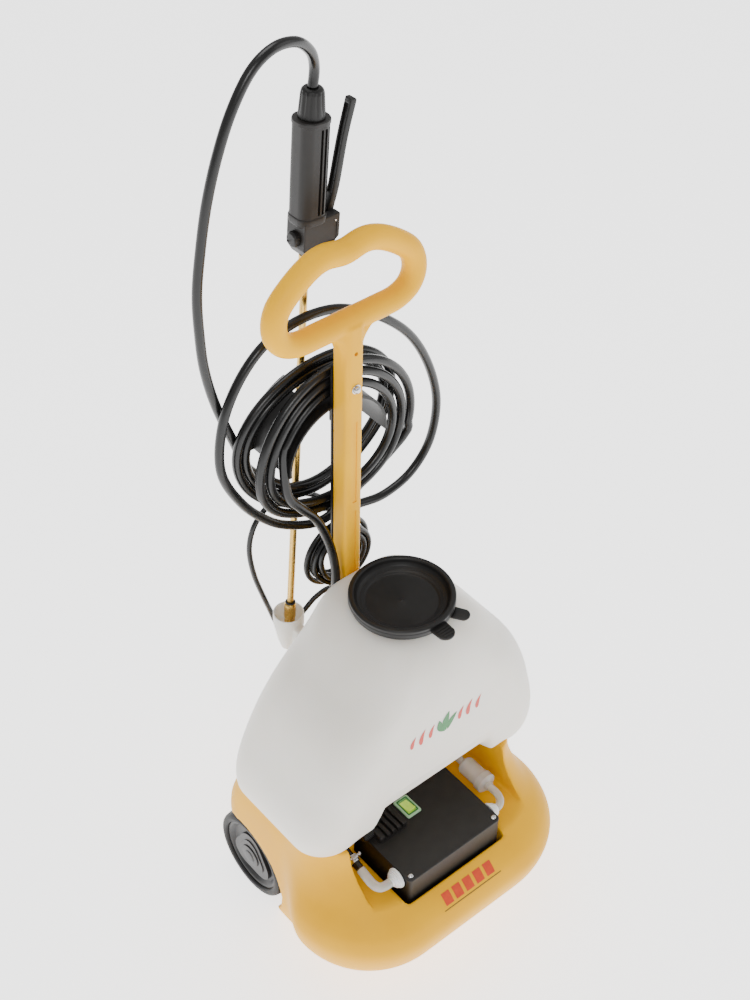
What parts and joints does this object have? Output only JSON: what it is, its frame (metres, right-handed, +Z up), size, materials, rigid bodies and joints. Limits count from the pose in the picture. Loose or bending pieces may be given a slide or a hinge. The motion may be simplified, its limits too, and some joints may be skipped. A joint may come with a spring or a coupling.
{
  "type": "wheeled sprayer cart",
  "caption": "Upright wheeled sprayer cart: moulded base with pump bay, tank, post with loop handle, hose on a saddle, gun with brass lance.",
  "frame": {"origin": "floor, under the middle of the object's footprint", "axes": "+Z up, front faces -Y, the wheels' axle along X"},
  "size_m": [0.464, 0.4217, 1.3983],
  "materials": {
    "yellow_plastic": "satin moulded polyethylene",
    "milky_plastic": "translucent moulded polyethylene",
    "black_plastic": "satin",
    "black_rubber": "soft matt",
    "tyre": "matt",
    "grey_plastic": "satin",
    "white_plastic": "smooth",
    "bright_steel": "zinc plated",
    "brass": "drawn and turned",
    "green_plastic": "smooth, lit from inside"
  },
  "bodies": {
    "cart": {"axle": "bright_steel", "base_shell": "yellow_plastic", "bolt_washer": "bright_steel", "box_screw_1": "bright_steel", "box_screw_2": "bright_steel", "box_screw_3": "bright_steel", "box_screw_4": "bright_steel", "cable_gland": "black_plastic", "filler_ring": "black_plastic", "filler_strainer": "white_plastic", "foot_left": "black_rubber", "foot_right": "black_rubber", "gun_body": "black_plastic", "handle": "yellow_plastic", "handle_screw": "bright_steel", "hanger_bolt": "bright_steel", "hanger_nut": "bright_steel", "hose_clamp": "bright_steel", "hose_hanger": "black_plastic", "hose_nut": "black_plastic", "inlet_bush": "white_plastic", "inlet_elbow": "milky_plastic", "inlet_filter": "milky_plastic", "lance_collar": "brass", "lance_cup": "milky_plastic", "lance_tube": "brass", "lever_pin": "bright_steel", "nozzle_oring": "black_rubber", "outlet_bush": "white_plastic", "outlet_elbow": "milky_plastic", "pump_box_lid": "black_plastic", "pump_box_tub": "black_plastic", "pump_head": "grey_plastic", "pump_motor": "black_plastic", "push_nut_left": "bright_steel", "push_nut_right": "bright_steel", "spray_hose_drop": "black_rubber", "spray_hose_feed": "black_rubber", "spray_hose_hank": "black_rubber", "spray_hose_loop": "black_rubber", "suction_hose": "milky_plastic", "supply_lead": "black_rubber", "supply_lead_coil": "black_rubber", "supply_lead_tail": "black_rubber", "supply_plug": "black_plastic", "switch_frame": "green_plastic", "tank": "milky_plastic", "tank_outlet": "black_plastic", "valve_plug": "black_plastic"},
    "left_wheel": {"tyre_left": "tyre", "rim_left": "grey_plastic", "hub_cap_left": "grey_plastic"},
    "right_wheel": {"tyre_right": "tyre", "rim_right": "grey_plastic", "hub_cap_right": "grey_plastic"},
    "trigger": {"gun_lever": "black_plastic"},
    "rocker": {"switch_rocker": "green_plastic"},
    "knob": {"pressure_knob": "black_plastic"},
    "nozzle": {"nozzle_nut": "brass"},
    "tank_lid": {"filler_lid": "black_plastic"}
  },
  "joints": [
    {"name": "left_wheel_spin", "type": "hinge", "parent": "cart", "child": "left_wheel", "pos_m": [-0.165, 0.1148, 0.075], "axis": [1, 0, 0], "continuous": true},
    {"name": "right_wheel_spin", "type": "hinge", "parent": "cart", "child": "right_wheel", "pos_m": [0.165, 0.1148, 0.075], "axis": [1, 0, 0], "continuous": true},
    {"name": "trigger_pull", "type": "hinge", "parent": "cart", "child": "trigger", "pos_m": [0.03398, 0.18597, 1.1347], "axis": [0, 0.9996, -0.0296], "range_deg": [-10.5, 0], "stiffness_Nm_per_rad": 1.5},
    {"name": "switch_rock", "type": "hinge", "parent": "cart", "child": "rocker", "pos_m": [-0.01225, -0.0598, 0.2378], "axis": [1, 0, 0], "range_deg": [0, 20]},
    {"name": "pressure_turn", "type": "hinge", "parent": "cart", "child": "knob", "pos_m": [-0.0955, -0.0638, 0.2466], "axis": [-1, 0, 0], "range_deg": [-135, 135]},
    {"name": "nozzle_turn", "type": "hinge", "parent": "cart", "child": "nozzle", "pos_m": [-0.052, 0.1672, 0.5005], "axis": [0.0854, 0.0295, 0.9959], "range_deg": [0, 270]},
    {"name": "lid_lift", "type": "slide", "parent": "cart", "child": "tank_lid", "axis": [0, 0, 1], "range_m": [0, 0.06]}
  ]
}
